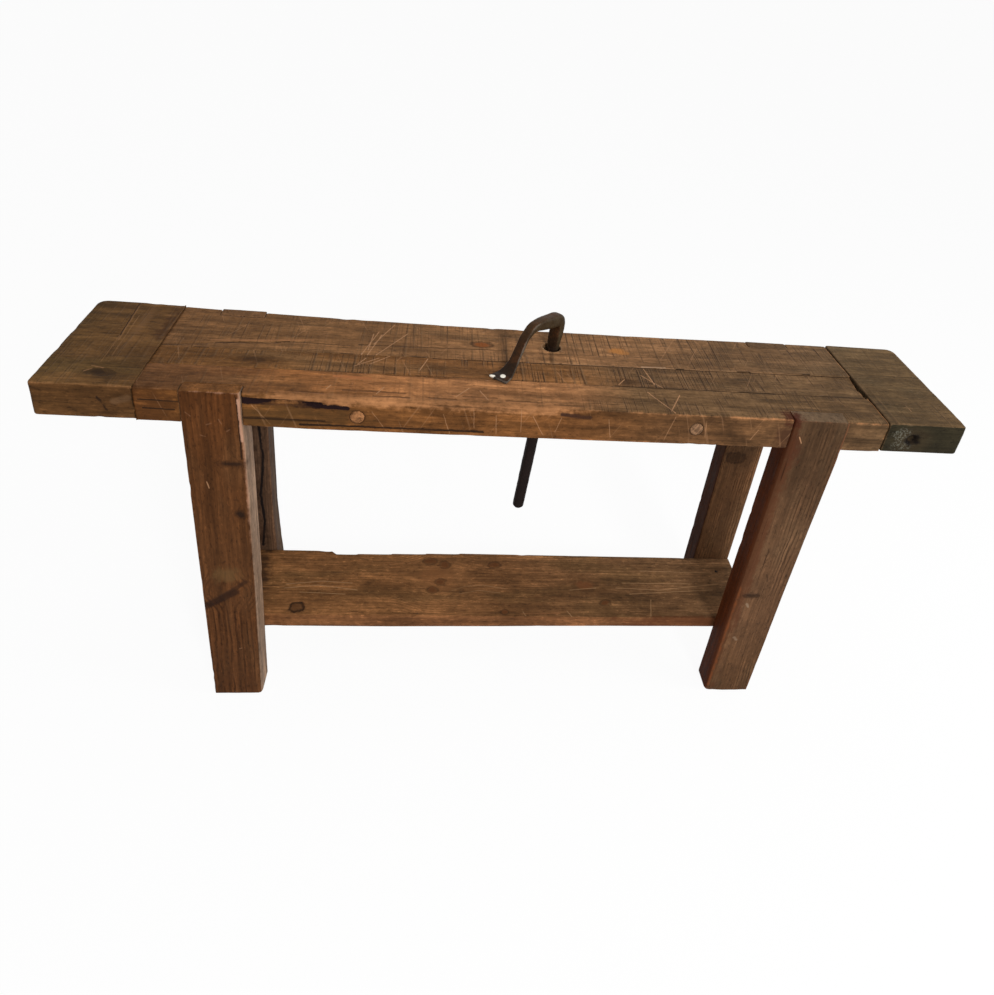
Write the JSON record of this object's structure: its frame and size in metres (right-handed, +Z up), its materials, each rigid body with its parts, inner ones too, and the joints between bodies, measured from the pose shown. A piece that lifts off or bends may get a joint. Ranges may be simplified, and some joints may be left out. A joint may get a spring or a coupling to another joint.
{
  "type": "carpenters workbench",
  "caption": "Narrow plank-topped carpenter's workbench with capped ends, lapped legs, a low shelf on pegged bearers and a lift-out forged holdfast standing in the top.",
  "frame": {"origin": "on the floor under the middle of the bench", "axes": "+X along the bench to the right, -Y towards the front, +Z up"},
  "size_m": [1.761, 0.323, 0.8938],
  "materials": {
    "plank_wood": "worn, unfinished",
    "block_wood": "worn, unfinished",
    "leg_wood": "worn, unfinished",
    "shelf_wood": "worn, unfinished",
    "peg_wood": "unfinished",
    "forged_iron": "dark forged, polished where handled",
    "nail_iron": "dark"
  },
  "bodies": {
    "bench": {"top_front_board": "plank_wood", "top_middle_board": "plank_wood", "top_back_board": "plank_wood", "left_end_block": "block_wood", "right_end_block": "block_wood", "left_top_dowel": "peg_wood", "right_top_dowel": "peg_wood", "front_left_leg": "leg_wood", "front_right_leg": "leg_wood", "back_left_leg": "leg_wood", "back_right_leg": "leg_wood", "left_bearer": "leg_wood", "right_bearer": "leg_wood", "front_left_bearer_peg": "peg_wood", "front_right_bearer_peg": "peg_wood", "back_left_bearer_peg": "peg_wood", "back_right_bearer_peg": "peg_wood", "shelf_board": "shelf_wood", "left_front_shelf_nail": "nail_iron", "left_back_shelf_nail": "nail_iron", "right_front_shelf_nail": "nail_iron", "right_back_shelf_nail": "nail_iron"},
    "holdfast": {"holdfast": "forged_iron"}
  },
  "joints": [
    {"name": "holdfast_lift", "type": "slide", "parent": "bench", "child": "holdfast", "axis": [0.087, 0.1064, 0.9905], "range_m": [0, 0.45]}
  ]
}
